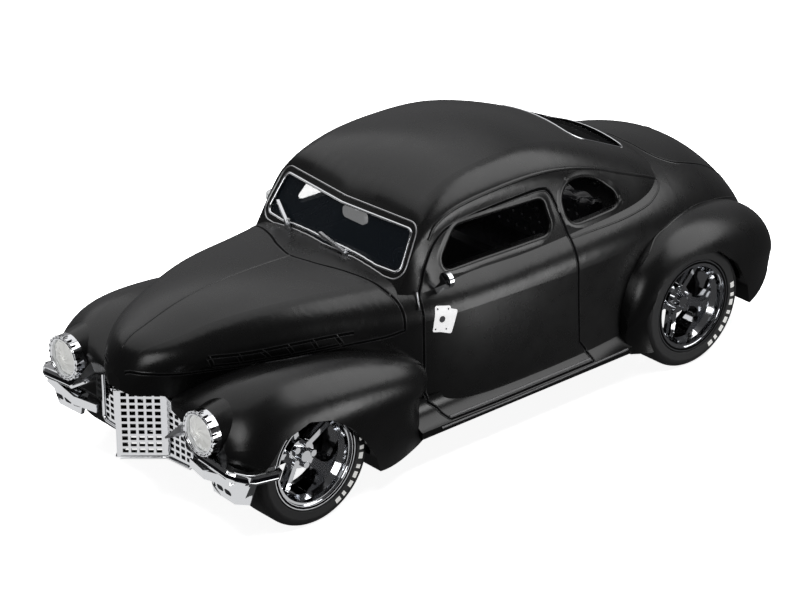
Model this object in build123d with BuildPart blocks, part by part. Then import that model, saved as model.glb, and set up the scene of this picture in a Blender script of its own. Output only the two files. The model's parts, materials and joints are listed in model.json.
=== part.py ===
from build123d import *
import os

# Driving sizes, in millimetres, of a 1:32 model coupe. Front is -Y, the car's left is +X.
# Stations run along the car from the middle of the wheelbase, front negative.
FRONT_AXLE = -45.5
REAR_AXLE = 45.5
FRONT_END = -67.7
REAR_END = 76.7
MIDDLE_Y = -(FRONT_END + REAR_END) / 2
WALL = 1.1
TYRE_RADIUS = 12.15
TYRE_INNER = 18.5
TYRE_OUTER = 26.9
RIM_RADIUS = 8.6
AXLE_RADIUS = 1.2
BEARING_CLEARANCE = 0.05
WELL_RADIUS = 13.0
WELL_OUTER = 27.5
PAN_BOTTOM = 6.6
PAN_TOP = 7.8

# station, bottom width, bottom height, side width, side height, shoulder width, shoulder height, crown height
TUB_ROWS = [
    (-67.6, 1.3, 23.8, 1.7, 24.9, 1.2, 26.0, 26.4),
    (-66.9, 3.0, 23.3, 3.6, 25.2, 2.6, 27.3, 28.1),
    (-65.6, 4.6, 23.1, 5.2, 26.2, 3.4, 29.8, 30.7),
    (-61.5, 7.9, 22.6, 8.4, 27.0, 5.8, 32.2, 33.1),
    (-54.0, 11.3, 12.5, 11.4, 27.2, 8.4, 34.2, 35.3),
    (-42.0, 15.4, 8.2, 15.4, 27.3, 11.8, 35.4, 36.6),
    (-28.0, 20.0, 7.6, 19.8, 27.6, 14.5, 35.0, 36.4),
    (-16.0, 23.0, 7.5, 22.9, 27.8, 17.0, 34.6, 36.2),
    (5.0, 24.4, 7.5, 24.2, 27.5, 18.0, 34.6, 36.6),
    (28.0, 24.3, 7.5, 24.0, 27.0, 18.0, 35.0, 37.6),
    (46.0, 22.0, 8.0, 22.0, 27.0, 15.5, 34.9, 38.6),
    (58.0, 19.5, 8.4, 19.6, 24.5, 12.5, 32.9, 36.3),
    (68.0, 16.0, 9.0, 16.4, 20.0, 10.0, 27.4, 29.9),
    (75.0, 10.5, 10.0, 11.0, 15.0, 7.0, 19.4, 20.8),
]

# station, bottom width, bottom height, side width, side height, shoulder width, shoulder height, crown height
ROOF_ROWS = [
    (-26.0, 18.9, 30.0, 17.8, 35.6, 14.2, 38.4, 39.2),
    (-17.0, 21.2, 30.5, 19.3, 39.3, 15.8, 42.4, 43.0),
    (-12.6, 21.8, 31.0, 19.3, 41.9, 15.6, 45.9, 46.8),
    (-6.0, 22.3, 31.0, 19.1, 42.9, 14.8, 48.7, 50.2),
    (4.0, 22.6, 31.0, 19.0, 43.3, 14.2, 49.8, 51.5),
    (14.0, 22.6, 31.0, 18.9, 43.0, 13.6, 49.5, 51.3),
    (26.0, 22.2, 31.0, 18.6, 40.6, 12.8, 46.4, 48.3),
    (38.0, 20.6, 31.0, 17.6, 37.2, 11.6, 41.4, 43.0),
    (48.0, 17.0, 31.0, 14.6, 34.0, 9.6, 36.6, 38.0),
    (54.0, 13.0, 29.0, 10.0, 31.0, 6.5, 32.6, 33.6),
]

# station, inner x, inner height, crest x, crest height, outer x, outer height, skirt x, skirt height
FRONT_FENDER_ROWS = [
    (-62.4, 9.0, 21.8, 16.4, 22.6, 23.4, 19.0, 23.0, 15.6),
    (-60.6, 8.0, 22.8, 17.2, 25.0, 26.4, 19.4, 26.0, 13.6),
    (-57.0, 8.5, 23.4, 18.8, 27.2, 28.4, 19.8, 28.2, 12.0),
    (-51.0, 10.0, 24.2, 20.2, 28.3, 29.2, 19.8, 29.0, 9.6),
    (-43.0, 12.0, 24.0, 20.9, 28.0, 29.4, 18.8, 29.0, 8.4),
    (-34.0, 14.0, 23.0, 21.4, 26.7, 28.9, 17.6, 28.4, 6.4),
    (-24.0, 17.0, 21.0, 22.2, 23.8, 27.4, 16.4, 27.0, 6.6),
    (-20.0, 18.0, 19.5, 22.0, 21.8, 25.4, 15.6, 25.8, 7.4),
    (-17.2, 18.0, 18.5, 20.6, 19.8, 22.2, 15.0, 22.4, 8.0),
]
REAR_FENDER_ROWS = [
    (29.5, 19.0, 13.0, 22.8, 15.6, 25.6, 11.8, 26.8, 7.5),
    (34.0, 17.0, 20.0, 22.6, 24.2, 28.4, 16.4, 28.6, 7.2),
    (41.0, 15.0, 24.0, 22.2, 27.8, 29.4, 19.2, 29.4, 7.6),
    (49.0, 13.0, 24.0, 21.4, 28.5, 29.3, 19.6, 29.4, 8.4),
    (58.0, 11.0, 23.0, 20.0, 27.2, 28.2, 18.2, 28.0, 8.4),
    (66.0, 10.0, 20.0, 18.8, 24.2, 25.6, 15.6, 25.0, 9.4),
    (70.5, 13.0, 16.5, 18.2, 19.6, 22.6, 14.4, 22.0, 10.8),
]

# Side-view outlines of the openings, as station and height.
DOOR_WINDOW = [(-12.6, 34.6), (15.4, 34.4), (14.2, 41.0), (-6.8, 41.9)]
QUARTER_WINDOW = [(19.2, 34.4), (18.2, 41.4), (22.5, 42.4), (28.0, 40.6), (32.6, 36.4), (32.0, 34.4)]
FRONT_ARCH = [(-60.0, 4.0), (-58.6, 14.6), (-54.2, 19.8), (-48.4, 21.6), (-43.4, 20.4), (-39.4, 17.4),
              (-35.4, 12.8), (-33.0, 9.0), (-31.6, 4.0)]
REAR_ARCH = [(34.2, 4.0), (32.6, 13.4), (34.4, 19.4), (38.4, 22.6), (43.6, 23.8), (49.8, 22.8),
             (55.0, 18.6), (59.0, 12.6), (61.0, 4.0)]

# Side flare along the sill, as x and height, with a hollow curve between the first two points
SILL_TOP = (23.6, 13.6)
SILL_EDGE = (26.5, 8.8)
SILL_MIDDLE = (24.3, 10.5)
SILL_STATIONS = (-21.0, 33.0)

# Plan-view lines of the vee windscreen: half width, and its station at the base and at the top.
SCREEN_BASE_Z = 28.0
SCREEN_TOP_Z = 54.0
SCREEN_LINE = [(0.0, -26.9, -8.3), (24.0, -22.9, -7.7)]
SCREEN_WALL = 1.3

# part suffix and the side of the car
SIDES = [("left", 1), ("right", -1)]
AXLES = [("front", FRONT_AXLE), ("rear", REAR_AXLE)]

parts = {}


def at(s):
    return MIDDLE_Y + s


def station(s):
    """Section plane at a station, with X across the car and Z up."""
    return Plane.XZ.offset(-at(s))


def hull_section(row, inset=0.0):
    """One closed cross-section of the tub or roof: crown, shoulder and side arcs over a flat bottom."""
    s, bottom_w, bottom_z, side_w, side_z, top_w, top_z, crown_z = row
    bottom_w -= inset
    side_w -= 0.97 * inset
    side_z -= 0.2 * inset
    top_w -= 0.4 * inset
    top_z -= 0.92 * inset
    crown_z -= inset
    bottom_z -= inset
    with BuildSketch(station(s)) as section:
        with BuildLine():
            crown = TangentArc((0, crown_z), (top_w, top_z), tangent=(1, 0))
            shoulder = TangentArc((top_w, top_z), (side_w, side_z), tangent=crown % 1)
            side = TangentArc((side_w, side_z), (bottom_w, bottom_z), tangent=shoulder % 1)
            Line(side @ 1, (0, bottom_z))
            mirror(about=Plane.YZ)
        make_face()
    return section.sketch


def hull(rows, inset=0.0):
    sections = [hull_section(row, inset) for row in rows]
    with BuildPart() as made:
        for section in sections:
            add(section)
        loft()
    return made.part


def fender_section(row, inset=0.0):
    """One closed cross-section of a fender: a round top, an outer side and a flat floor."""
    s, inner_x, inner_z, crest_x, crest_z, outer_x, outer_z, skirt_x, skirt_z = row
    inner_x += inset
    inner_z -= 0.9 * inset
    crest_z -= inset
    outer_x -= inset
    skirt_x -= inset
    floor_z = skirt_z - inset
    with BuildSketch(station(s)) as section:
        with BuildLine():
            top = TangentArc((crest_x, crest_z), (outer_x, outer_z), tangent=(1, 0))
            skirt = TangentArc((outer_x, outer_z), (skirt_x, floor_z), tangent=top % 1)
            Polyline(skirt @ 1, (inner_x, floor_z), (inner_x, inner_z))
            TangentArc((crest_x, crest_z), (inner_x, inner_z), tangent=(-1, 0))
        make_face()
    return section.sketch


def fender(rows, inset=0.0):
    sections = [fender_section(row, inset) for row in rows]
    with BuildPart() as made:
        for section in sections:
            add(section)
        loft()
    return made.part


def both(shape):
    """A left-hand shape together with its mirror image."""
    with BuildPart() as pair:
        add(shape)
        mirror(about=Plane.YZ)
    return pair.part


def side_prism(outline, x0, x1, radius):
    """A side-view outline with rounded corners, extruded across the car from x0 to x1."""
    with BuildPart() as prism:
        with BuildSketch(Plane.YZ.offset(x0)) as face:
            with BuildLine():
                Polyline([(at(s), z) for s, z in outline], close=True)
            make_face()
            fillet(face.vertices(), radius)
        extrude(amount=x1 - x0)
    return prism.part


def screen_slab(front, back):
    """The space between two vee planes set off from the windscreen line, along the car."""
    with BuildPart() as slab:
        for z, column in ((SCREEN_BASE_Z, 1), (SCREEN_TOP_Z, 2)):
            line = [(row[0], at(row[column])) for row in SCREEN_LINE]
            near = [(x, y + front) for x, y in line]
            far = [(x, y + back) for x, y in reversed(line)]
            with BuildSketch(Plane.XY.offset(z)):
                with BuildLine():
                    Polyline(near + far, close=True)
                make_face()
                mirror(about=Plane.YZ)
        loft(ruled=True)
    return slab.part


def screen_outline(grow, depth):
    """The front view of the windscreen, grown by an amount, extruded along the car."""
    corners = [(19.4, 35.0), (17.9, 43.9), (-17.9, 43.9), (-19.4, 35.0)]
    with BuildPart() as prism:
        with BuildSketch(station(-40)) as face:
            with BuildLine():
                Polyline([(x, z) for x, z in corners], close=True)
            make_face()
            fillet(face.vertices(), 2.2)
            if grow:
                offset(amount=grow, mode=Mode.REPLACE)
        extrude(amount=-depth)
    return prism.part


def axle_cylinder(s, radius, x0, x1):
    with BuildPart() as made:
        with BuildSketch(Plane.YZ.offset(x0)):
            with Locations((at(s), TYRE_RADIUS)):
                Circle(radius)
        extrude(amount=x1 - x0)
    return made.part


# Outer body with its windows, arches and hollow inside
front_fender = fender(FRONT_FENDER_ROWS)
rear_fender = fender(REAR_FENDER_ROWS)
roof_outer = hull(ROOF_ROWS) - screen_slab(-14, 0)
pillar_root = Pos(0, at(-26.9), 26.8) * Box(60, 20, 17.6)
roof_hollow = hull(ROOF_ROWS, WALL) - screen_slab(-14, SCREEN_WALL) - pillar_root
tub_outer = hull(TUB_ROWS)
tub_hollow = hull(TUB_ROWS[1:], WALL) & (Pos(0, at(4.0), 20) * Box(60, 139.8, 60))
door_glazing = side_prism(DOOR_WINDOW, 12, 26, 1.4)
quarter_glazing = side_prism(QUARTER_WINDOW, 12, 26, 1.3)
with BuildPart() as rear_glazing:
    with BuildSketch(Plane.XY.offset(34)):
        with Locations((0, at(37.0))):
            RectangleRounded(20.0, 13.4, 2.2)
    extrude(amount=18)

with BuildPart() as sill:
    with BuildSketch(station(SILL_STATIONS[0])):
        with BuildLine():
            hollow_curve = ThreePointArc(SILL_TOP, SILL_MIDDLE, SILL_EDGE)
            Polyline(SILL_EDGE, (26.3, 7.4), (22.8, 7.4), (22.8, SILL_TOP[1]), SILL_TOP)
        make_face()
    extrude(amount=-(SILL_STATIONS[1] - SILL_STATIONS[0]))

# station, height and radius of the headlamp pod
POD_X = 19.1
POD_ROWS = [(-62.8, 21.2, 4.1), (-58.0, 21.3, 4.9), (-51.0, 21.4, 5.2)]
with BuildPart() as headlamp_pod:
    for s, z, radius in POD_ROWS:
        with BuildSketch(station(s)):
            with Locations((POD_X, z)):
                Circle(radius)
    loft()

# Chrome prow grille: front-view outline of the right half, and the pocket that it sits in
GRILLE_FRONT = [(0.0, 23.2), (4.4, 23.0), (6.6, 22.0), (12.6, 19.6), (12.6, 11.2), (11.8, 10.5), (0.0, 10.3)]
GRILLE_BACK = -60.0
with BuildPart() as grille_pocket:
    with BuildSketch(station(-72)):
        with BuildLine():
            Polyline([(x, z) for x, z in GRILLE_FRONT[:4]] + [(12.6, 2.0), (0.0, 2.0)], close=True)
        make_face()
        mirror(about=Plane.YZ)
    extrude(amount=-(GRILLE_BACK + 72))

# Hollow for one left wheel around the X axis, with its outer edge bevelled under the fender's skin
WELL_BEVEL = 1.3
with BuildPart() as wheel_well:
    with BuildSketch(Plane.XY):
        with BuildLine():
            Polyline((9.4, 0), (9.4, WELL_RADIUS), (WELL_OUTER - WELL_BEVEL, WELL_RADIUS),
                     (WELL_OUTER, WELL_RADIUS - WELL_BEVEL), (WELL_OUTER, 0), close=True)
        make_face()
    revolve(axis=Axis.X)

# station and top of the two posts that carry the body on the floor
BODY_POSTS = [(-36.0, 36.2), (58.0, 35.6)]

# Half of the floor's plan outline, as x and station
PAN_OUTLINE = [(0, -53.0), (15.6, -53.0), (15.6, -31.0), (21.0, -29.0), (22.4, -15.0),
               (22.6, 28.0), (21.4, 31.0), (15.6, 31.0), (15.6, 60.0), (12.0, 69.0), (0, 69.0)]


def pan_prism(z0, z1):
    with BuildPart() as prism:
        with BuildSketch(Plane.XY.offset(z0)):
            with BuildLine():
                Polyline([(x, at(s)) for x, s in PAN_OUTLINE], close=True)
            make_face()
            mirror(about=Plane.YZ)
        extrude(amount=z1 - z0)
    return prism.part


wheel_wells = [both(Pos(0, at(s), TYRE_RADIUS) * wheel_well.part) for axle, s in AXLES]
arches = [both(side_prism(outline, 22, 32, 1.6)) for outline in (FRONT_ARCH, REAR_ARCH)]
side_openings = [both(door_glazing), both(quarter_glazing)]
screen_seat = screen_outline(0, 40) & screen_slab(0, SCREEN_WALL)
floor_space = pan_prism(0, PAN_TOP)
swellings = [both(shape) for shape in (front_fender, rear_fender, headlamp_pod.part, sill.part)]
body_cuts = wheel_wells + arches + side_openings
body_cuts += [rear_glazing.part, floor_space, screen_seat, grille_pocket.part]
with BuildPart() as body_shell:
    add(tub_outer)
    add([roof_outer] + swellings)
    add([tub_hollow, roof_hollow], mode=Mode.SUBTRACT)
    for s, top in BODY_POSTS:
        with Locations((0, at(s), (PAN_TOP + top) / 2)):
            Cylinder(2.0, top - PAN_TOP)
    add(body_cuts, mode=Mode.SUBTRACT)
parts["body_shell"] = max(body_shell.part.solids(), key=lambda solid: solid.volume)

# Floor of the car with axle bearings, seat rails and two blind bosses for display screws
BEARING_X = 13.4
BEARING_WIDTH = 3.2
BOSS_STATIONS = (-26.0, 27.0)
BOSS_RADIUS = 3.2
SCREW_RADIUS = 1.25
SCREW_DEPTH = 4.4
pan_plate = pan_prism(PAN_BOTTOM, PAN_TOP)
bearing_bores = [axle_cylinder(s, AXLE_RADIUS + BEARING_CLEARANCE, -20, 20) for axle, s in AXLES]
with BuildPart() as chassis_pan:
    add(pan_plate)
    for x in (-8.0, 8.0):
        with Locations((x, at(8.0), (PAN_TOP + 12.0) / 2)):
            Box(3.0, 40.0, 12.0 - PAN_TOP)
    for axle, s in AXLES:
        for x in (-BEARING_X, BEARING_X):
            with Locations((x, at(s), (PAN_TOP + 14.8) / 2)):
                Box(BEARING_WIDTH, 6.0, 14.8 - PAN_TOP)
    add(bearing_bores, mode=Mode.SUBTRACT)
    for s in BOSS_STATIONS:
        with Locations((0, at(s), (PAN_BOTTOM + 12.0) / 2)):
            Cylinder(BOSS_RADIUS, 12.0 - PAN_BOTTOM)
        with Locations((0, at(s), PAN_BOTTOM + SCREW_DEPTH / 2)):
            Cylinder(SCREW_RADIUS, SCREW_DEPTH, mode=Mode.SUBTRACT)
parts["chassis_pan"] = chassis_pan.part

# How far the axle reaches into a rim from the tyre's inner face
AXLE_REACH = 3.4

# Axle rods with wheels: rim section as radius and distance out from the wheel's inner face
RIM_SECTION = [(8.6, 0.6), (8.6, 7.6), (8.9, 7.6), (8.9, 8.2), (8.2, 8.2), (8.1, 7.8), (7.7, 7.8), (7.5, 7.0),
               (6.9, 6.0), (6.7, 2.2), (7.2, 0.6)]
SPOKES = 5
SPOKE_PHASE = {"front": 28.7, "rear": 46.0}


def rim_shape(phase):
    """One left-hand rim on the X axis: barrel, hub, spokes, wheel nuts and centre cap."""
    with BuildPart() as rim:
        with BuildSketch(Plane.XY):
            with BuildLine():
                Polyline([(TYRE_INNER + out, radius) for radius, out in RIM_SECTION], close=True)
            make_face()
        revolve(axis=Axis.X)
        with BuildSketch(Plane.YZ.offset(TYRE_INNER + 1.2)):
            Circle(2.7)
        extrude(amount=3.2)
        for out, width in ((2.4, 1.7), (3.2, 1.0)):
            with BuildSketch(Plane.YZ.offset(TYRE_INNER + out)):
                with PolarLocations(0, SPOKES, phase):
                    with Locations((4.5, 0)):
                        Rectangle(5.0, width)
            extrude(amount=0.8)
        with BuildSketch(Plane.YZ.offset(TYRE_INNER + 4.4)):
            with PolarLocations(2.05, SPOKES, phase + 36):
                Circle(0.6)
        extrude(amount=0.9)
        with BuildSketch(Plane.YZ.offset(TYRE_INNER + 4.4)):
            Circle(1.3)
        extrude(amount=1.3, taper=12)
        with BuildSketch(Plane.YZ.offset(TYRE_INNER)):
            Circle(AXLE_RADIUS)
        extrude(amount=AXLE_REACH, mode=Mode.SUBTRACT)
    return rim.part


with BuildPart() as tyre_blank:
    with BuildSketch(Plane.XY) as tyre_face:
        with BuildLine():
            Polyline([(TYRE_INNER, 9.4), (TYRE_INNER, TYRE_RADIUS), (TYRE_OUTER, TYRE_RADIUS),
                      (TYRE_OUTER, 9.2), (TYRE_INNER + 7.6, 9.0), (TYRE_INNER + 7.6, RIM_RADIUS),
                      (TYRE_INNER + 0.6, RIM_RADIUS), (TYRE_INNER + 0.6, 9.0)], close=True)
        make_face()
        fillet(tyre_face.vertices().filter_by(lambda v: v.Y > 12), 1.6)
    revolve(axis=Axis.X)
for axle, s in AXLES:
    parts[f"{axle}_axle"] = axle_cylinder(s, AXLE_RADIUS, -TYRE_INNER - AXLE_REACH, TYRE_INNER + AXLE_REACH)
    left_rim = rim_shape(SPOKE_PHASE[axle])
    for kind, left in (("rim", left_rim), ("tyre", tyre_blank.part)):
        for side, sign in SIDES:
            shape = left if sign > 0 else mirror(left, about=Plane.YZ)
            parts[f"{kind}_{axle}_{side}"] = Pos(0, at(s), TYRE_RADIUS) * shape

# Cabin: a tray, two seats, dashboard and steering wheel
TRAY_FLOOR = 12.0
TRAY_OUTER = [(0, -16.0), (19.6, -16.0), (19.6, 31.0), (15.4, 31.0), (15.4, 40.0), (0, 40.0)]
TRAY_INNER = [(0, -15.0), (18.6, -15.0), (18.6, 30.0), (14.4, 30.0), (14.4, 39.0), (0, 39.0)]
with BuildPart() as interior_tray:
    for outline, z0, mode in ((TRAY_OUTER, TRAY_FLOOR, Mode.ADD),
                              (TRAY_INNER, TRAY_FLOOR + 1.0, Mode.SUBTRACT)):
        with BuildSketch(Plane.XY.offset(z0)):
            with BuildLine():
                Polyline([(x, at(s)) for x, s in outline], close=True)
            make_face()
            mirror(about=Plane.YZ)
        extrude(amount=28.0 - z0, mode=mode)
parts["interior_tray"] = interior_tray.part

# seat, half width, cushion front, cushion top, back front, back rear, back top
SEATS = [
    ("front_seat", 17.0, -4.0, 19.0, 6.0, 9.5, 30.0),
    ("rear_seat", 14.0, 19.5, 20.5, 30.0, 34.0, 32.5),
]
for name, half, front, cushion_top, back_front, back_rear, back_top in SEATS:
    with BuildPart() as seat:
        with BuildSketch(Plane.YZ.offset(-half)) as seat_face:
            with BuildLine():
                Polyline([(at(front), 13.0), (at(front), cushion_top), (at(back_front), cushion_top),
                          (at(back_front + 1.0), back_top), (at(back_rear), back_top),
                          (at(back_rear), 13.0)], close=True)
            make_face()
            fillet(seat_face.vertices().filter_by(lambda v: v.Z > 14), 0.9)
        extrude(amount=2 * half)
    parts[name] = seat.part

with BuildPart() as dashboard:
    with BuildSketch(Plane.YZ.offset(-18.0)) as dash_face:
        with BuildLine():
            Polyline([(at(-16.0), 28.0), (at(-16.0), 32.6), (at(-13.2), 32.6), (at(-12.4), 30.6),
                      (at(-13.4), 28.0)], close=True)
        make_face()
        fillet(dash_face.vertices().filter_by(lambda v: v.Z > 30 and v.Y > at(-15)), 0.6)
    extrude(amount=36.0)
parts["dashboard"] = dashboard.part

WHEEL_X = 9.5
COLUMN = Plane(origin=(WHEEL_X, at(-8.2), 30.2), x_dir=(1, 0, 0), z_dir=(0, 1, 0.35))
with BuildPart() as steering_wheel:
    with BuildSketch(Plane(origin=COLUMN.origin, x_dir=COLUMN.z_dir, z_dir=COLUMN.x_dir)):
        with Locations((0, 4.6)):
            Circle(0.45)
    revolve(axis=Axis(COLUMN.origin, COLUMN.z_dir))
    with BuildSketch(COLUMN.offset(-0.35)):
        Circle(1.1)
        Rectangle(9.0, 0.9)
    extrude(amount=0.7)
    with BuildSketch(COLUMN.offset(-5.6)):
        Circle(0.7)
    extrude(amount=5.6)
    add(dashboard.part, mode=Mode.SUBTRACT)
parts["steering_wheel"] = steering_wheel.part

# Glazing: a thin layer of the roof's skin, cut to each opening
glass_layer = hull(ROOF_ROWS, 0.45) - hull(ROOF_ROWS, 0.95)
for kind, opening in (("side", door_glazing), ("quarter", quarter_glazing)):
    left_pane = glass_layer & opening
    parts[f"{kind}_glass_left"] = left_pane
    parts[f"{kind}_glass_right"] = mirror(left_pane, about=Plane.YZ)
parts["rear_glass"] = glass_layer & rear_glazing.part
frame_slab = screen_slab(0.0, 1.3)
parts["windshield_frame"] = (screen_outline(0, 40) - screen_outline(-1.2, 40)) & frame_slab
parts["windshield_glass"] = screen_outline(-1.2, 40) & screen_slab(0.4, 0.9)

# Grille plan line of its front face, then the pierced cells
GRILLE_THICK = 0.9
GRILLE_PLAN = [(0.0, -67.7), (6.0, -61.2), (12.6, -60.9)]
CELL_WIDTH = 1.0
CELL_HEIGHT = 0.75
CELL_PITCH = (1.45, 1.2)
# face: plan start, plan end, columns, rows, bottom row height
GRILLE_FACES = [((0.0, -67.7), (6.0, -61.2), 5, 10, 11.6), ((6.0, -61.2), (12.6, -60.9), 4, 7, 11.8)]
with BuildPart() as front_grille:
    with BuildSketch(Plane.XY.offset(9.0)):
        with BuildLine():
            front_line = [(x, at(s)) for x, s in GRILLE_PLAN]
            back_line = [(12.6, at(-60.0)), (5.6, at(-60.2)), (0.0, at(-66.3))]
            Polyline(front_line + back_line, close=True)
        make_face()
    extrude(amount=15)
    with BuildSketch(station(-55)):
        with BuildLine():
            Polyline([(x, z) for x, z in GRILLE_FRONT], close=True)
        make_face()
    extrude(amount=20, mode=Mode.INTERSECT)
    for (x0, s0), (x1, s1), columns, rows, low in GRILLE_FACES:
        middle = ((x0 + x1) / 2, at((s0 + s1) / 2), low + (rows - 1) * CELL_PITCH[1] / 2)
        face_plane = Plane(origin=middle, x_dir=(x1 - x0, s1 - s0, 0), z_dir=(s1 - s0, x0 - x1, 0))
        with BuildSketch(face_plane.offset(-2.0)):
            with GridLocations(CELL_PITCH[0], CELL_PITCH[1], columns, rows):
                Rectangle(CELL_WIDTH, CELL_HEIGHT)
        extrude(amount=4.0, mode=Mode.SUBTRACT)
    mirror(about=Plane.YZ)
parts["front_grille"] = front_grille.part

# Headlamps: a bezel ring and a domed lens on the pod face
LAMP_Z = 21.2
LAMP_BACK = -62.8
with BuildPart() as lamp_bezel:
    with BuildSketch(station(LAMP_BACK)):
        with Locations((POD_X, LAMP_Z)):
            Circle(4.1)
            Circle(3.4, mode=Mode.SUBTRACT)
    extrude(amount=1.7)
with BuildPart() as lamp_lens:
    with BuildSketch(Plane.YZ.offset(POD_X)):
        with BuildLine():
            Polyline((at(LAMP_BACK - 0.9), LAMP_Z + 3.4), (at(LAMP_BACK), LAMP_Z + 3.4),
                     (at(LAMP_BACK), LAMP_Z), (at(LAMP_BACK - 1.8), LAMP_Z))
            RadiusArc((at(LAMP_BACK - 1.8), LAMP_Z), (at(LAMP_BACK - 0.9), LAMP_Z + 3.4), 6.9)
        make_face()
    revolve(axis=Axis((POD_X, 0, LAMP_Z), (0, 1, 0)))

# Front bumper half: a rail that drops outward and wraps the corner, and a lower rail that joins it
RAIL_UPPER = [(14.0, -63.0, 19.0), (18.4, -63.1, 16.3), (26.0, -63.1, 15.6), (28.2, -61.2, 14.9),
              (28.2, -54.8, 13.9)]
RAIL_LOWER = [(13.4, -61.6, 12.6), (18.5, -62.7, 12.7), (25.8, -62.9, 14.4)]


def rail(points, depth, height):
    path = Polyline([(x, at(s), z) for x, s, z in points])
    start = Plane(origin=path @ 0, x_dir=(0, 0, 1), z_dir=path % 0)
    with BuildPart() as made:
        with BuildSketch(start):
            Rectangle(height, depth)
        sweep(path=path, transition=Transition.RIGHT)
    return made.part


bumper_left = rail(RAIL_UPPER, 1.4, 2.0) + rail(RAIL_LOWER, 1.2, 1.6)
open_fender = front_fender - side_prism(FRONT_ARCH, 22, 32, 1.6)
bumper_left = bumper_left - open_fender - headlamp_pod.part - lamp_bezel.part

with BuildPart() as guard_left:
    for s, x, z, wide, high in ((-62.4, 13.9, 20.0, 2.2, 3.2), (-67.0, 13.1, 19.0, 0.3, 0.4)):
        with BuildSketch(station(s)):
            with BuildLine():
                Polyline((x - wide / 2, z), (x, z + high / 2), (x + wide / 2, z), (x, z - high / 2),
                         close=True)
            make_face()
    loft(ruled=True)
    add(bumper_left, mode=Mode.SUBTRACT)
    add(headlamp_pod.part, mode=Mode.SUBTRACT)
    add(lamp_bezel.part, mode=Mode.SUBTRACT)

# Plan outline of the pan under one bumper half, as x and station
APRON_OUTLINE = [(17.4, -59.6), (17.6, -62.8), (25.4, -63.2), (28.2, -60.8), (28.4, -58.2), (27.0, -58.6)]
APRON_TOP = 13.8
with BuildPart() as apron_left:
    with BuildSketch(Plane.XY.offset(APRON_TOP)) as apron_face:
        with BuildLine():
            Polyline([(x, at(s)) for x, s in APRON_OUTLINE], close=True)
        make_face()
    extrude(amount=-4.7, taper=16)
    with BuildSketch(Plane.XY.offset(APRON_TOP)):
        add(apron_face.sketch)
        offset(amount=-0.9, mode=Mode.REPLACE)
    extrude(amount=-3.6, taper=16, mode=Mode.SUBTRACT)
    add(bumper_left, mode=Mode.SUBTRACT)
    add(open_fender, mode=Mode.SUBTRACT)

with BuildPart() as door_mirror_left:
    with BuildSketch(station(-13.4)):
        with Locations((23.9, 35.0)):
            Circle(1.5)
    extrude(amount=-0.9)
    with BuildSketch(station(-13.4)):
        with BuildLine():
            Polyline((20.5, 32.0), (21.8, 31.6), (24.2, 34.6), (23.2, 35.0), close=True)
        make_face()
    extrude(amount=-0.7)
    add(tub_outer, mode=Mode.SUBTRACT)
    add(roof_outer, mode=Mode.SUBTRACT)

# wiper side: blade start, blade end and foot, each as x, station and height
WIPERS = [
    ("left", (-1.6, -20.3, 37.6), (5.9, -20.8, 36.5), (6.4, -21.0, 35.6)),
    ("right", (-15.9, -18.2, 38.5), (-10.5, -20.4, 36.4), (-10.1, -20.7, 35.4)),
]


def bar(start, end, thick):
    """A square bar between two points given as x, station and height."""
    a = Vector(start[0], at(start[1]), start[2])
    b = Vector(end[0], at(end[1]), end[2])
    with BuildPart() as made:
        with BuildSketch(Plane(origin=a, z_dir=b - a)):
            Rectangle(thick, thick)
        extrude(amount=(b - a).length)
    return made.part


with BuildPart() as tail_lamp_left:
    with BuildSketch(station(70.5)):
        with Locations((18.0, 15.2)):
            Circle(1.9)
    extrude(amount=-1.5)
    fillet(tail_lamp_left.faces().sort_by(Axis.Y)[-1].edges(), 0.9)

LEFT_PIECES = [
    ("headlamp_bezel", lamp_bezel.part), ("headlamp_lens", lamp_lens.part), ("front_bumper", bumper_left),
    ("bumper_guard", guard_left.part), ("front_apron", apron_left.part),
    ("door_mirror", door_mirror_left.part), ("tail_lamp", tail_lamp_left.part),
]
for name, shape in LEFT_PIECES:
    parts[f"{name}_left"] = shape
    parts[f"{name}_right"] = mirror(shape, about=Plane.YZ)

for side, blade_start, blade_end, foot in WIPERS:
    arm = bar(blade_start, blade_end, 0.55) + bar(blade_end, (foot[0], foot[1], foot[2] - 1.4), 0.8)
    arm = arm - tub_outer - screen_slab(0, 3)
    parts[f"wiper_{side}"] = max(arm.solids(), key=lambda solid: solid.volume)

REAR_RAIL = [(0.0, 75.85, 14.6), (12.6, 75.85, 14.6), (16.6, 74.6, 14.4)]
half_rear = rail(REAR_RAIL, 1.7, 2.4) - tub_outer
parts["rear_bumper"] = both(half_rear)

screen_space = screen_slab(-14, SCREEN_WALL)
with BuildPart() as mirror_inside:
    with BuildSketch(station(-13.8)):
        with Locations((0, 39.6)):
            RectangleRounded(6.0, 2.2, 0.8)
    extrude(amount=-0.8)
    with BuildSketch(station(-13.8)):
        with Locations((0, 41.6)):
            Rectangle(0.8, 4.0)
    extrude(amount=-0.8)
    add(screen_space, mode=Mode.SUBTRACT)
parts["mirror_inside"] = mirror_inside.part

os.makedirs("parts", exist_ok=True)
for name, shape in parts.items():
    shape.label = name
    export_step(shape, f"parts/{name}.step")
    print(name, len(shape.solids()), round(shape.volume, 1), shape.bounding_box())
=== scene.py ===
import json
import math

import bpy
from mathutils import Matrix, Vector
from mathutils.bvhtree import BVHTree


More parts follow.
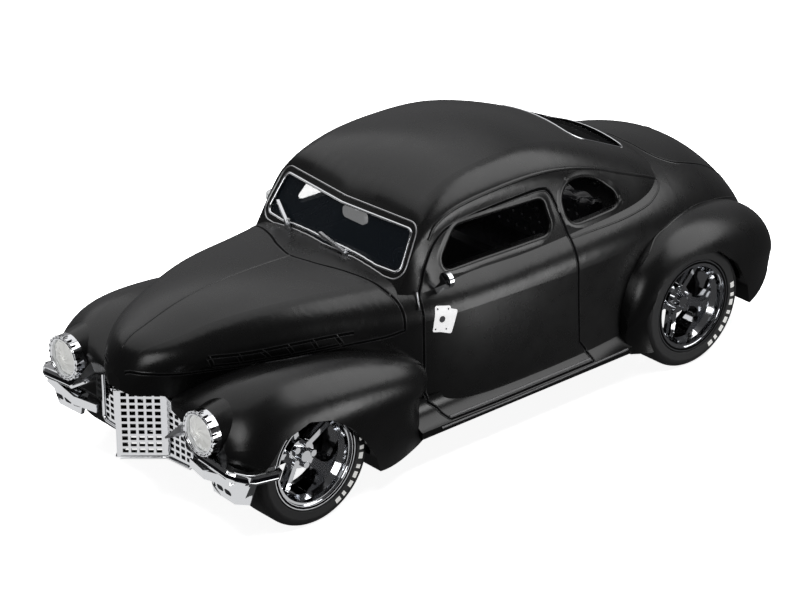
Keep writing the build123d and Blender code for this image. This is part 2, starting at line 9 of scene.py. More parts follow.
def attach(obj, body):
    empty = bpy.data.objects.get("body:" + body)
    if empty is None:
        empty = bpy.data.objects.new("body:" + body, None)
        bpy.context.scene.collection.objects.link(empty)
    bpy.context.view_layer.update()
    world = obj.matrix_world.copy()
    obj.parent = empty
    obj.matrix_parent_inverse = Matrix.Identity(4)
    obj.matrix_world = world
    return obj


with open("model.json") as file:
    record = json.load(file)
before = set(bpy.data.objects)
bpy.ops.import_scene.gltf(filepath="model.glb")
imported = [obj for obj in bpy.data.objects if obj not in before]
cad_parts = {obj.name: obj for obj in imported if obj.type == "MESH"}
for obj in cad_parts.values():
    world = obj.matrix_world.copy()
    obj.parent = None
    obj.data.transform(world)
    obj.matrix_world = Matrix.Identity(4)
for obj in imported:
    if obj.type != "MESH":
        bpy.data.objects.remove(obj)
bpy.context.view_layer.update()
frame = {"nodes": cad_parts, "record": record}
nodes = frame["nodes"]
MM = 0.001

# Places are given in millimetres as x, station and height. Stations run along the car from the middle
# of the wheelbase, which is at this Y in the frame.
MIDDLE_Y = -4.5

# Detail of all noise, scale of the noise that varies the gloss, and the part of its range in use
NOISE_DETAIL = 3.0
GLOSS_SCALE = 260.0
GLOSS_RANGE = (0.3, 0.7)
# Scale and height of the faint ripple in the glass
RIPPLE_SCALE = 30.0
RIPPLE = 0.000002


def node_tree(name):
    material = bpy.data.materials.new(name)
    material.use_nodes = True
    tree = material.node_tree
    tree.nodes.clear()
    output = tree.nodes.new("ShaderNodeOutputMaterial")
    shader = tree.nodes.new("ShaderNodeBsdfPrincipled")
    tree.links.new(shader.outputs["BSDF"], output.inputs["Surface"])
    return material, tree, shader


def noise(tree, scale):
    coords = tree.nodes.new("ShaderNodeTexCoord")
    texture = tree.nodes.new("ShaderNodeTexNoise")
    texture.inputs["Scale"].default_value = scale
    texture.inputs["Detail"].default_value = NOISE_DETAIL
    tree.links.new(coords.outputs["Object"], texture.inputs["Vector"])
    return texture.outputs["Fac"]


def spread(tree, value, low, high):
    """Maps noise to the range low to high."""
    span = tree.nodes.new("ShaderNodeMapRange")
    span.inputs["From Min"].default_value = GLOSS_RANGE[0]
    span.inputs["From Max"].default_value = GLOSS_RANGE[1]
    span.inputs["To Min"].default_value = low
    span.inputs["To Max"].default_value = high
    tree.links.new(value, span.inputs["Value"])
    return span.outputs["Result"]


def bump(tree, shader, height, distance):
    node = tree.nodes.new("ShaderNodeBump")
    node.inputs["Distance"].default_value = distance
    tree.links.new(height, node.inputs["Height"])
    tree.links.new(node.outputs["Normal"], shader.inputs["Normal"])


def plain(name, colour, roughness, metallic=0.0, grain=0.0, grain_scale=900.0, vary=0.0, coat=0.0):
    """A surface material with a little procedural variation in its gloss and its skin."""
    material, tree, shader = node_tree(name)
    shader.inputs["Base Color"].default_value = (*colour, 1.0)
    shader.inputs["Roughness"].default_value = roughness
    shader.inputs["Metallic"].default_value = metallic
    shader.inputs["Coat Weight"].default_value = coat
    if vary:
        gloss = spread(tree, noise(tree, GLOSS_SCALE), roughness - vary, roughness + vary)
        tree.links.new(gloss, shader.inputs["Roughness"])
    if grain:
        bump(tree, shader, noise(tree, grain_scale), grain)
    return material


def glass(name, colour, roughness, alpha):
    material, tree, shader = node_tree(name)
    shader.inputs["Base Color"].default_value = (*colour, 1.0)
    shader.inputs["Roughness"].default_value = roughness
    shader.inputs["Alpha"].default_value = alpha
    bump(tree, shader, noise(tree, RIPPLE_SCALE), RIPPLE)
    return material


def glow(material, strength, colour=(1.0, 1.0, 1.0)):
    """Lifts a pale material a little, where the soft light alone leaves it grey."""
    shader = material.node_tree.nodes["Principled BSDF"]
    shader.inputs["Emission Color"].default_value = (*colour, 1.0)
    shader.inputs["Emission Strength"].default_value = strength
    return material


# Body and cabin
SATIN = plain("satin_paint", (0.0055, 0.0055, 0.0056), 0.28, grain=0.000004, grain_scale=2600.0, vary=0.02)
# Lighter than the body paint: a painted highlight on the rolled lips beside the gaps and on the hood's middle
# bead
SATIN_HIGHLIGHT = plain("satin_edge", (0.018, 0.018, 0.019), 0.3, vary=0.03)
# Pale grey on the sill's beads: a painted highlight
SILL_HIGHLIGHT = plain("sill_edge", (0.13, 0.13, 0.135), 0.24, vary=0.03)
# Near black, dull and hardly reflecting: painted shade, for the panel gaps, the side windows' edges, the lamp
# bezels' notches and the rims' steps
PAINTED_SHADE = plain("panel_gap", (0.0012, 0.0012, 0.0013), 0.9)
PAINTED_SHADE.node_tree.nodes["Principled BSDF"].inputs["Specular IOR Level"].default_value = 0.1
FLOOR_PLASTIC = plain("floor_plastic", (0.012, 0.012, 0.012), 0.55, grain=0.00002, vary=0.06)
CABIN_PLASTIC = plain("cabin_plastic", (0.010, 0.010, 0.011), 0.5, grain=0.00002, vary=0.06)
SEAT_VINYL = plain("seat_vinyl", (0.012, 0.012, 0.014), 0.22, vary=0.05)
# Lighter than the seats' own vinyl: painted light on the quilted rear seat in the shaded cabin
QUILT_LIT = plain("quilted_vinyl", (0.03, 0.03, 0.034), 0.2, vary=0.05)
# Pale grey buttons: painted highlights on the rear seat's tufts
BUTTON_HIGHLIGHT = plain("seat_button", (0.30, 0.30, 0.32), 0.3, vary=0.05)
# White print on the doors, with a painted glow that lifts it
DECAL_GLOW = glow(plain("decal_white", (0.80, 0.80, 0.81), 0.35, vary=0.05), 0.5)
DECAL_SPOT = plain("decal_grey", (0.06, 0.06, 0.065), 0.4)

# Plated and bare metal
CHROME = plain("chrome_plate", (0.80, 0.81, 0.83), 0.08, metallic=1.0, grain=0.00003, grain_scale=420.0,
               vary=0.02)
BRIGHT_WORK = plain("bright_work", (0.80, 0.81, 0.83), 0.3, metallic=1.0, vary=0.05)
# The inside mirror's pale back with a painted glow, though it is no lamp
MIRROR_BACK_GLOW = glow(plain("mirror_back", (0.80, 0.81, 0.83), 0.5, metallic=0.2, vary=0.05), 0.3)
# Dark plate in the rails' grooves: painted shade and reflection
RAIL_SHADE = plain("rail_shade", (0.05, 0.055, 0.065), 0.15, metallic=1.0, vary=0.03)
# Grey plate for the apron's pockets: painted shade
POCKET_SHADE = plain("pocket_steel", (0.32, 0.33, 0.35), 0.3, metallic=1.0, vary=0.05)
STEEL = plain("axle_steel", (0.55, 0.55, 0.56), 0.3, metallic=1.0, vary=0.05)

# Glass, lamps and tyres
WARM = (1.0, 1.0, 0.97)
WINDOW = glass("window_glass", (0.004, 0.005, 0.007), 0.02, 0.12)
SCREEN_GLASS = glass("screen_glass", (0.022, 0.030, 0.040), 0.05, 0.34)
LENS = plain("lamp_lens", (0.75, 0.76, 0.74), 0.12, vary=0.04, coat=1.0)
# Cut glass over the headlamps with a warm painted glow, though the lamps are not lit
LENS_CUT_GLOW = glow(plain("cut_lens", (0.85, 0.86, 0.84), 0.12, vary=0.04, coat=1.0), 0.33, WARM)
RED_LENS = plain("red_lens", (0.35, 0.01, 0.01), 0.12, coat=0.5, vary=0.03)
RUBBER = plain("tyre_rubber", (0.033, 0.033, 0.034), 0.5, grain=0.00002, grain_scale=1500.0, vary=0.06)
# Pale print on the tyre walls, lifted by a painted glow
PALE_PRINT_GLOW = glow(plain("pale_mark", (0.80, 0.80, 0.78), 0.6, vary=0.05), 0.3, WARM)

FINISH = {
    "satin_black": SATIN,
    "floor_black": FLOOR_PLASTIC,
    "interior_black": CABIN_PLASTIC,
    "seat_black": SEAT_VINYL,
    "chrome": CHROME,
    "steel": STEEL,
    "clear": WINDOW,
    "lens": LENS,
    "red_lens": RED_LENS,
    "tyre": RUBBER,
}
# Nodes whose finish differs from the rest of their slot, named without their side
OWN_FINISH = {
    "windshield_glass": SCREEN_GLASS,
    "wiper": BRIGHT_WORK,
    "bumper_guard": BRIGHT_WORK,
    "mirror_inside": MIRROR_BACK_GLOW,
}


def kind(name):
    """A node's name without its side."""
    return name.removesuffix("_left").removesuffix("_right")


def finish_nodes():
    for part in frame["record"]["subparts"]:
        mesh = nodes[part["node"]].data
        mesh.materials.clear()
        mesh.materials.append(OWN_FINISH.get(kind(part["node"]), FINISH[part["material_slot"]]))


def place(x, s, z):
    """A point in metres from x, station and height in millimetres."""
    return Vector((x, s + MIDDLE_Y, z)) * MM


def surface(name):
    """A node's mesh in the frame's space, for rays."""
    node = nodes[name]
    points = [node.matrix_world @ vertex.co for vertex in node.data.vertices]
    return BVHTree.FromPolygons(points, [list(face.vertices) for face in node.data.polygons])


def middle_of(name):
    """The middle of a node's box."""
    node = nodes[name]
    return sum((node.matrix_world @ Vector(corner) for corner in node.bound_box), Vector()) / 8


SHELL = surface("body_shell")
WALLS = {name: surface(name) for name in nodes if name.startswith("tyre_")}
INWARD = Vector((-1.0, 0.0, 0.0))
DOWN = Vector((0.0, 0.0, -1.0))
BACKWARD = Vector((0.0, 1.0, 0.0))
AHEAD = Vector((0.0, -1.0, 0.0))

# Places well clear of the car, in millimetres, from which rays look at it
BESIDE_X = 40.0
ABOVE_Z = 70.0
BEFORE_S = -85.0

# Height of the body's long axis, and the height below which the skin is a plain sill, in metres
BODY_AXIS_Z = 0.020
SILL_TOP_Z = 0.0105
# How far outside a point the search for the skin starts, and how far it goes, in metres
SKIN_START = 0.005
SKIN_REACH = 0.008


def skin(point):
    """The skin near a point, met from outside, level at the sill and elsewhere towards the long axis."""
    rise = 0.0 if point.z < SILL_TOP_Z else point.z - BODY_AXIS_Z
    out = Vector((point.x, 0.0, rise)).normalized()
    hit, normal, face, distance = SHELL.ray_cast(point + out * SKIN_START, -out)
    if hit is None or distance > SKIN_REACH:
        hit, normal = SHELL.find_nearest(point)[:2]
    return hit, normal


# Distance between points along smooth curves and along outlines, in millimetres
CURVE_STEP = 0.6
OUTLINE_STEP = 0.5
# Steps round each corner of an outline
CORNER_TURNS = 6


def curve(points):
    """Points on a smooth curve through the given points."""
    last = len(points) - 1
    path = []
    for i in range(last):
        p0, p1, p2, p3 = (points[min(max(i + k, 0), last)] for k in (-1, 0, 1, 2))
        pieces = max(1, round((p2 - p1).length / MM / CURVE_STEP))
        for j in range(pieces):
            t = j / pieces
            path.append(0.5 * (2 * p1 + (p2 - p0) * t + (2 * p0 - 5 * p1 + 4 * p2 - p3) * t ** 2
                               + (3 * p1 - p0 - 3 * p2 + p3) * t ** 3))
    path.append(points[-1])
    return path


def new_store():
    """Points and faces gathered for one piece."""
    return {"points": [], "faces": []}


def add_shape(store, points, faces):
    first = len(store["points"])
    store["points"] += points
    store["faces"] += [tuple(first + i for i in face) for face in faces]


def add_strip(store, path, normals, profile, closed=False, flip=False):
    """Sweeps a profile of (across, up) millimetre offsets along a path; flip makes the right-hand copy."""
    count = len(path)
    wide = len(profile)
    side = Vector((-1.0 if flip else 1.0, 1.0, 1.0))
    points = []
    for i in range(count):
        before = path[i - 1] if closed or i else path[0]
        after = path[(i + 1) % count] if closed or i < count - 1 else path[-1]
        across = (after - before).cross(normals[i]).normalized()
        points += [(path[i] + across * out * MM + normals[i] * up * MM) * side for out, up in profile]
    faces = []
    for i in range(count if closed else count - 1):
        here = i * wide
        there = ((i + 1) % count) * wide
        faces += [(here + j, there + j, there + j + 1, here + j + 1) for j in range(wide - 1)]
    add_shape(store, points, [face[::-1] if flip else face for face in faces])


def new_object(name, data):
    obj = bpy.data.objects.new(name, data)
    bpy.context.scene.collection.objects.link(obj)
    return obj


def piece(name, store, material, body="car_body", smooth=True):
    """Makes the stored points and faces into one piece that rides on a body."""
    mesh = bpy.data.meshes.new(name)
    mesh.from_pydata([tuple(point) for point in store["points"]], [], store["faces"])
    mesh.validate()
    mesh.materials.append(material)
    if smooth:
        mesh.shade_smooth()
    obj = new_object(name, mesh)
    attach(obj, body)
    return obj


def drape(store, points, profile, sides=(False, True)):
    """Lays a profile on the body's skin along a smooth curve, on one side or both."""
    hits = [skin(point) for point in curve([place(*p) for p in points])]
    for flip in sides:
        add_strip(store, [h[0] for h in hits], [h[1] for h in hits], profile, flip=flip)


# Cross-section of the low rolled edge beside a gap, outwards from the gap
LIP = ((0.0, 0.0), (0.04, 0.06), (0.13, 0.06), (0.24, 0.0))


def flat(width, lift=0.02):
    return [(-width / 2, lift), (width / 2, lift)]


def lips(width):
    """Two low rolled edges on either side of a gap."""
    half = width / 2
    return [[(side * (half + out), up) for out, up in LIP][::side] for side in (-1, 1)]


def bead(radius, sink=0.0):
    """A half round bead, sunk a little into what it lies on."""
    turns = [math.pi * k / 4 for k in range(5)]
    return [(-radius * math.cos(t), radius * math.sin(t) - sink) for t in turns]


# Panel lines of the left side, as points of x, station and height
HOOD_REAR = [
    (0.0, -28.6, 36.4), (1.8, -28.2, 36.4), (5.6, -26.9, 36.2), (9.9, -24.8, 35.7),
    (14.0, -23.2, 35.1), (17.6, -22.3, 34.1), (20.1, -21.3, 32.3), (21.3, -20.9, 30.4),
    (21.8, -20.9, 28.7), (21.8, -20.9, 27.1),
]
HOOD_BOTTOM = [
    (21.8, -20.9, 27.1), (20.8, -24.5, 26.6), (18.7, -30.8, 26.5), (16.6, -36.9, 26.3),
    (15.1, -41.2, 26.2), (12.8, -47.6, 26.1), (11.0, -54.4, 26.7), (9.2, -60.4, 27.3),
    (5.6, -65.1, 27.4), (2.4, -67.0, 27.1),
]
HOOD_CENTRE = [(0.0, -28.6, 36.4), (0.0, -45.0, 36.4), (0.0, -60.0, 33.6), (0.0, -65.6, 30.7)]
LOUVRE_TOP = [
    (11.3, -56.0, 29.7), (13.2, -50.5, 29.2), (14.5, -46.7, 29.1), (16.0, -42.4, 29.2),
    (17.2, -37.9, 29.1), (18.3, -33.8, 29.0), (19.2, -30.3, 28.8),
]
LOUVRE_BOTTOM = [
    (11.3, -55.1, 27.8), (12.5, -49.8, 27.0), (13.9, -44.9, 26.8), (15.5, -40.7, 26.8),
    (16.9, -36.6, 26.9), (18.4, -32.2, 26.9),
]
DOOR_FRONT = [(21.4, -17.0, 32.2), (22.7, -17.3, 27.8), (22.8, -17.4, 20.6), (23.6, -17.4, 12.7)]
DOOR_TOE = [(23.6, -17.4, 12.7), (26.2, -14.0, 9.0)]
DOOR_BOTTOM = [(26.2, -14.0, 9.0), (26.2, -2.5, 8.9), (26.4, 9.6, 8.9), (26.4, 20.6, 8.9)]
DOOR_HEEL = [(26.4, 20.6, 8.9), (25.4, 20.6, 9.8), (24.4, 18.6, 12.9)]
DOOR_REAR = [
    (24.4, 18.6, 12.9), (24.3, 18.4, 21.8), (24.0, 18.3, 28.2), (22.8, 18.3, 31.8),
    (21.5, 18.3, 33.4), (19.9, 17.5, 37.3), (19.1, 16.2, 40.9), (18.9, 14.9, 42.4),
]
DOOR_TOP = [
    (18.9, 14.9, 42.4), (18.9, 12.4, 42.8), (19.0, 6.4, 42.9), (19.0, -0.8, 42.7),
    (19.1, -6.8, 42.3), (19.2, -9.8, 41.6), (19.4, -12.3, 39.8), (19.9, -14.5, 37.0),
    (20.5, -16.1, 33.8), (21.2, -17.0, 32.2),
]
TRUNK = [
    (0.0, 47.0, 38.4), (4.4, 47.6, 38.2), (7.3, 48.4, 37.6), (10.0, 49.2, 36.7), (12.0, 50.9, 35.6),
    (12.9, 53.4, 34.4), (12.8, 57.0, 33.1), (12.0, 61.9, 31.1), (10.4, 67.0, 27.6), (8.0, 71.6, 23.4),
    (4.0, 74.0, 20.6), (0.0, 74.6, 20.2),
]
# Top and foot of each slanted line between the louvres, and the width of the louvres' lines
LOUVRE_SLATS = [
    [(11.3, -56.0, 29.7), (11.3, -55.1, 27.8)], [(13.0, -51.0, 29.2), (12.5, -49.8, 27.0)],
    [(14.4, -47.0, 29.1), (13.9, -44.9, 26.8)], [(15.9, -42.6, 29.2), (15.5, -40.7, 26.8)],
    [(17.1, -38.1, 29.1), (16.9, -36.6, 26.9)], [(18.3, -33.8, 29.0), (18.4, -32.2, 26.9)],
]
LOUVRE_WIDTH = 0.46
# Width and course of each line
PANEL_LINES = [
    (0.42, HOOD_REAR), (0.36, HOOD_BOTTOM), (LOUVRE_WIDTH, LOUVRE_TOP), (LOUVRE_WIDTH, LOUVRE_BOTTOM),
    (0.42, DOOR_FRONT), (0.34, DOOR_TOE), (0.42, DOOR_BOTTOM), (0.34, DOOR_HEEL), (0.40, DOOR_REAR),
    (0.50, DOOR_TOP), (0.30, TRUNK),
] + [(LOUVRE_WIDTH, slat) for slat in LOUVRE_SLATS]
# Courses of the bright edges along the sill, painted highlights in pale grey
SILL_EDGES = [[(26.3, -13.8, 9.3), (26.3, -2.5, 9.25), (26.4, 9.6, 9.25), (26.4, 20.3, 9.25)],
              [(26.4, -16.5, 8.3), (26.3, -2.5, 8.2), (26.6, 12.0, 8.3), (26.8, 29.0, 8.6)]]
SILL_BEAD = bead(0.24, 0.05)
HOOD_BEAD = bead(0.3, 0.18)


def panel_lines():
    gaps = new_store()
    edges = new_store()
    sills = new_store()
    # Each gap is a strip of painted shade
    for width, points in PANEL_LINES:
        drape(gaps, points, flat(width))
        # The lips beside each gap and the hood's middle bead carry a painted highlight
        for profile in lips(width):
            drape(edges, points, profile)
    drape(edges, HOOD_CENTRE, HOOD_BEAD, sides=(False,))
    # The sill's beads carry a painted highlight
    for points in SILL_EDGES:
        drape(sills, points, SILL_BEAD)
    piece("sill_edges", sills, SILL_HIGHLIGHT)
    piece("panel_edges", edges, SATIN_HIGHLIGHT)
    piece("panel_gaps", gaps, PAINTED_SHADE)


# Courses of the raised welts in body colour
ROOF_BASE = [
    (22.0, 18.7, 32.6), (22.0, 24.9, 32.5), (21.7, 31.8, 32.3), (20.7, 38.4, 32.4),
    (19.7, 41.5, 32.8), (18.2, 44.3, 33.5), (16.3, 45.7, 34.5), (14.0, 46.6, 35.5),
]
FENDER_JOINT_REAR = [
    (24.7, 33.4, 23.3), (23.3, 38.1, 26.7), (22.8, 42.1, 28.0), (21.6, 46.6, 28.5),
    (19.7, 52.9, 28.1), (17.4, 61.1, 26.2), (13.1, 70.2, 22.5),
]
DRIP_RAIL = [
    (19.3, -13.2, 41.0), (18.9, -11.2, 43.2), (18.4, -6.0, 44.6), (18.2, 4.0, 45.2),
    (18.1, 14.0, 45.2), (18.0, 22.0, 44.2), (17.8, 29.0, 42.2), (17.6, 35.0, 39.6),
    (17.3, 39.6, 37.6), (16.9, 43.2, 36.0), (16.3, 45.7, 34.6),
]
# Radius, sink into the skin and course of each welt
WELTS = [(0.5, 0.32, DRIP_RAIL), (0.22, 0.08, ROOF_BASE), (0.2, 0.06, FENDER_JOINT_REAR)]


def body_welts():
    welts = new_store()
    for radius, sink, points in WELTS:
        drape(welts, points, bead(radius, sink))
    piece("body_welts", welts, SATIN)


def rounded(corners, radii, grow=0.0):
    """A closed 2-D outline, its sides moved out by grow, its corners rounded by one radius or one each."""
    count = len(corners)
    if isinstance(radii, float):
        radii = [radii] * count
    area = sum(a[0] * b[1] - b[0] * a[1] for a, b in zip(corners, corners[1:] + corners[:1]))
    if area < 0:
        corners = corners[::-1]
        radii = radii[::-1]
    path = []
    for i, radius in enumerate(radii):
        before, here, after = (Vector(corners[(i + k) % count]) for k in (-1, 0, 1))
        a = (here - before).normalized()
        b = (after - here).normalized()
        normal_a = Vector((a.y, -a.x))
        normal_b = Vector((b.y, -b.x))
        here += (normal_a + normal_b) * grow / (1.0 + normal_a.dot(normal_b))
        half = math.acos(max(-1.0, min(1.0, a.dot(b)))) / 2
        start = here - a * (radius + grow) * math.tan(half)
        centre = start - normal_a * (radius + grow)
        arm = start - centre
        for k in range(CORNER_TURNS + 1):
            turn = 2 * half * k / CORNER_TURNS
            path.append(centre + Vector((arm.x * math.cos(turn) - arm.y * math.sin(turn),
                                         arm.x * math.sin(turn) + arm.y * math.cos(turn))))
    return path


def rectangle(wide, high):
    """Corners of a rectangle by its half sides."""
    return [(-wide, -high), (wide, -high), (wide, high), (-wide, high)]


def walk(outline):
    """Evenly spaced points along a closed 2-D outline."""
    points = []
    for a, b in zip(outline, outline[1:] + outline[:1]):
        pieces = max(1, round((b - a).length / OUTLINE_STEP))
        points += [a + (b - a) * k / pieces for k in range(pieces)]
    return points


# Outlines of the openings: the side windows as station and height, the rear window as x and station, and
# the windscreen as x and height
DOOR_WINDOW = [(-12.6, 34.6), (15.4, 34.4), (14.2, 41.0), (-6.8, 41.9)]
DOOR_RADIUS = 1.9
QUARTER_WINDOW = [(19.2, 34.4), (18.2, 41.4), (22.5, 42.4), (28.0, 40.6), (32.6, 36.4), (32.0, 34.4)]
QUARTER_RADII = [3.0, 3.2, 10.0, 11.0, 3.2, 2.2]
REAR_WINDOW = [(-10.0, 30.3), (10.0, 30.3), (10.0, 43.7), (-10.0, 43.7)]
WINDSHIELD = [(19.4, 35.0), (17.9, 43.9), (-17.9, 43.9), (-19.4, 35.0)]
SCREEN_RADIUS = 2.2

# The skin round the side windows is at least this far from the middle of the car, in millimetres, and
# the cosine of its normals to their mean is at least this
WINDOW_SKIN_X = 16.0
WINDOW_TURN = 0.6
# How often a window's loop is smoothed
SMOOTHING = 6


def side_loop(outline, radii, grow):
    """An outline grown in side view and set on the skin, smoothed and bridged where it meets an opening."""
    path = []
    normals = []
    for s, z in walk(rounded(outline, radii, grow)):
        hit, normal = SHELL.ray_cast(place(BESIDE_X, s, z), INWARD)[:2]
        on_skin = hit is not None and hit.x > WINDOW_SKIN_X * MM
        path.append(hit if on_skin else place(0.0, s, z))
        normals.append(normal if on_skin else None)
    count = len(path)
    for i in range(count):
        if normals[i] is None:
            before = next(k for k in range(1, count) if normals[i - k] is not None)
            after = next(k for k in range(1, count) if normals[(i + k) % count] is not None)
            share = before / (before + after)
            path[i].x = path[i - before].x * (1 - share) + path[(i + after) % count].x * share
    middle = sum((normal for normal in normals if normal is not None), Vector()).normalized()
    normals = [middle if normal is None or normal.dot(middle) < WINDOW_TURN else normal for normal in normals]
    for repeat in range(SMOOTHING):
        depths = [point.x for point in path]
        for i in range(count):
            path[i].x = (depths[i - 1] + depths[i] + depths[(i + 1) % count]) / 3
        normals = [(normals[i - 1] + normals[i] + normals[(i + 1) % count]).normalized()
                   for i in range(count)]
    return path, normals


def top_loop(outline, radius, grow):
    """An outline seen from above and set on the skin."""
    hits = [SHELL.ray_cast(place(x, s, ABOVE_Z), DOWN) for x, s in walk(rounded(outline, radius, grow))]
    return [hit[0] for hit in hits], [hit[1] for hit in hits]


# The windscreen's vee plane: the heights of its foot and its top, the distance of its side from the middle,
# and the stations of its middle and its side, at the foot and at the top
SCREEN_HEIGHTS = (28.0, 54.0)
SCREEN_SIDE = 24.0
SCREEN_FOOT_LINE = (-26.9, -22.9)
SCREEN_TOP_LINE = (-8.3, -7.7)
# Which way the left half of the screen faces
SCREEN_FACING = (0.13, -0.80, 0.58)


def between(pair, share):
    return pair[0] + (pair[1] - pair[0]) * share


def screen_station(x, z):
    """Station of the vee windscreen's plane at a place across the car and a height."""
    low, high = SCREEN_HEIGHTS
    out = abs(x) / SCREEN_SIDE
    return between((between(SCREEN_FOOT_LINE, out), between(SCREEN_TOP_LINE, out)), (z - low) / (high - low))


# Below this height and within this half width the screen's outline may be under the cowl
COWL_REACH = (37.5, 17.0)
# Heights between which the screen's plane leaves the cowl, and the step of the search
COWL_HEIGHTS = (34.0, 37.0)
COWL_STEP = 0.05
# How far off the plane the rays start, and how far above it the skin may still lie, in millimetres
COWL_START = 6.0
COWL_NEAR = 0.1


def cowl_height(x, normal):
    """Lowest height at which the screen's plane is out of the cowl."""
    low, high = COWL_HEIGHTS
    for k in range(round((high - low) / COWL_STEP)):
        z = low + COWL_STEP * k
        point = place(x, screen_station(x, z), z)
        hit, face_normal, face, distance = SHELL.ray_cast(point + normal * COWL_START * MM, -normal)
        if hit is None or distance > (COWL_START - COWL_NEAR) * MM:
            return z
    return high


def screen_loop(grow, clear):
    """The windscreen's outline on its vee plane, raised at its foot to stay clear of the cowl."""
    path = []
    normals = []
    across, back, up = SCREEN_FACING
    for x, z in walk(rounded(WINDSHIELD, SCREEN_RADIUS, grow)):
        normal = Vector((math.copysign(across, x), back, up)).normalized()
        if z < COWL_REACH[0] and abs(x) < COWL_REACH[1]:
            z = max(z, cowl_height(x, normal) + clear)
        path.append(place(x, screen_station(x, z), z))
        normals.append(normal)
    return path, normals


# Skin over the edge between the roof and the screen's plane: half width and step across the car, reach
# below and above that edge, number of columns and lift
BROW_HALF = 18.0
BROW_STEP = 0.75
BROW_REACH = (1.1, 3.4)
BROW_COLUMNS = 13
BROW_LIFT = 0.03
# Directions of its rays and of its slope, and the middle from which offsets along the slope are counted
BROW_LOOK = Vector((0.0, 0.55, -0.835)).normalized()
BROW_SLOPE = Vector((0.0, 0.835, 0.55)).normalized()
BROW_MIDDLE = (-14.5, 45.5)
# How far above the slope its rays start, in metres
BROW_START = 0.012
# Offsets searched for the edge, and how far the normals point up beyond it
BROW_OFFSETS = [-4.0 + 0.1 * k for k in range(90)]
ROOF_TURN = 0.62


def brow_hit(x, offset):
    """The skin over the screen, by x and the distance along the brow's slope."""
    start = place(x, *BROW_MIDDLE) + BROW_SLOPE * offset * MM - BROW_LOOK * BROW_START
    return SHELL.ray_cast(start, BROW_LOOK)[:2]


def brow_edge(x):
    """Offset at which the roof begins."""
    for offset in BROW_OFFSETS[1:]:
        hit, normal = brow_hit(x, offset)
        if hit is not None and normal.z > ROOF_TURN:
            return offset
    return BROW_OFFSETS[0]


def screen_brow():
    """A skin over the roof's front edge whose normals turn gently from the screen's plane to the roof."""
    points = []
    facings = []
    rows = int(2 * BROW_HALF / BROW_STEP) + 1
    for x in (-BROW_HALF + BROW_STEP * k for k in range(rows)):
        edge = brow_edge(x)
        low = brow_hit(x, edge - BROW_REACH[0])[1]
        high = brow_hit(x, edge + BROW_REACH[1])[1]
        for j in range(BROW_COLUMNS):
            t = j / (BROW_COLUMNS - 1)
            hit = brow_hit(x, edge - BROW_REACH[0] + t * sum(BROW_REACH))[0]
            share = t * t * (3.0 - 2.0 * t)
            blend = (low * (1.0 - share) + high * share).normalized()
            points.append(hit + blend * BROW_LIFT * MM)
            facings.append(blend)
    faces = [(k, k + BROW_COLUMNS, k + BROW_COLUMNS + 1, k + 1)
             for k in range((rows - 1) * BROW_COLUMNS) if (k + 1) % BROW_COLUMNS]
    strip = piece("screen_brow", {"points": points, "faces": faces}, SATIN)
    strip.data.normals_split_custom_set_from_vertices([tuple(normal) for normal in facings])


# Cross-sections of the rolled rim and of the dark band of painted shade at the edge of a side window, with
# their outlines' growth
RIM_BAND = [(-0.45, -0.4), (-0.42, 0.0), (-0.25, 0.12), (0.0, 0.16), (0.25, 0.12), (0.6, 0.03), (1.0, 0.0)]
RIM_GROW = 0.3
WINDOW_EDGE_SHADE = [(-0.15, 0.02), (0.15, 0.02), (0.15, -0.5)]
WINDOW_EDGE_SHADE_GROW = 0.12


def window_rims():
    rims = new_store()
    edge_shades = new_store()
    for outline, radii in ((DOOR_WINDOW, DOOR_RADIUS), (QUARTER_WINDOW, QUARTER_RADII)):
        for flip in (False, True):
            add_strip(rims, *side_loop(outline, radii, RIM_GROW), RIM_BAND, True, flip)
            add_strip(edge_shades, *side_loop(outline, radii, WINDOW_EDGE_SHADE_GROW), WINDOW_EDGE_SHADE, True, flip)
    piece("window_rims", rims, SATIN)
    piece("window_gaskets", edge_shades, PAINTED_SHADE)


# Beads of the screens, the growth of their outlines, and the windscreen beads' space to the cowl
REAR_BEAD = bead(0.22, 0.1)
REAR_GROW = 0.25
INNER_BEAD = bead(0.26, 0.05)
INNER_GROW = -1.05
INNER_CLEAR = 0.8
OUTER_BEAD = bead(0.18, 0.05)
OUTER_GROW = 0.05
OUTER_CLEAR = 0.1


def screen_trims():
    """Plated beads round the rear window and inside the screen's frame, and a steel one round the frame."""
    bright = new_store()
    add_strip(bright, *top_loop(REAR_WINDOW, SCREEN_RADIUS, REAR_GROW), REAR_BEAD, True)
    add_strip(bright, *screen_loop(INNER_GROW, INNER_CLEAR), INNER_BEAD, True)
    piece("bright_trims", bright, CHROME)
    outer = new_store()
    add_strip(outer, *screen_loop(OUTER_GROW, OUTER_CLEAR), OUTER_BEAD, True)
    piece("screen_surround", outer, STEEL)


# Left headlamp: its place across the car and height, the bezel's back and front stations, and its radii
LAMP_X = 19.1
LAMP_Z = 21.2
LAMP_BACK = -62.8
LAMP_FRONT = -64.5
BEZEL_OUTER = 4.1
BEZEL_INNER = 3.4
# Places and radius of the beads on the bezel's face, and the steps round them
LAMP_BEADS = (BEZEL_OUTER - 0.12, BEZEL_INNER + 0.1)
LAMP_BEAD = 0.16
CIRCLE_TURNS = 28
# Dark strips of painted shade in the notches across the bezel's face and down its side: their number, reach,
# width, lift and depth
NOTCHES = 22
NOTCH_REACH = (BEZEL_INNER + 0.25, BEZEL_OUTER + 0.03)
NOTCH_WIDTH = 0.3
NOTCH_LIFT = 0.17
NOTCH_DEPTH = 0.8
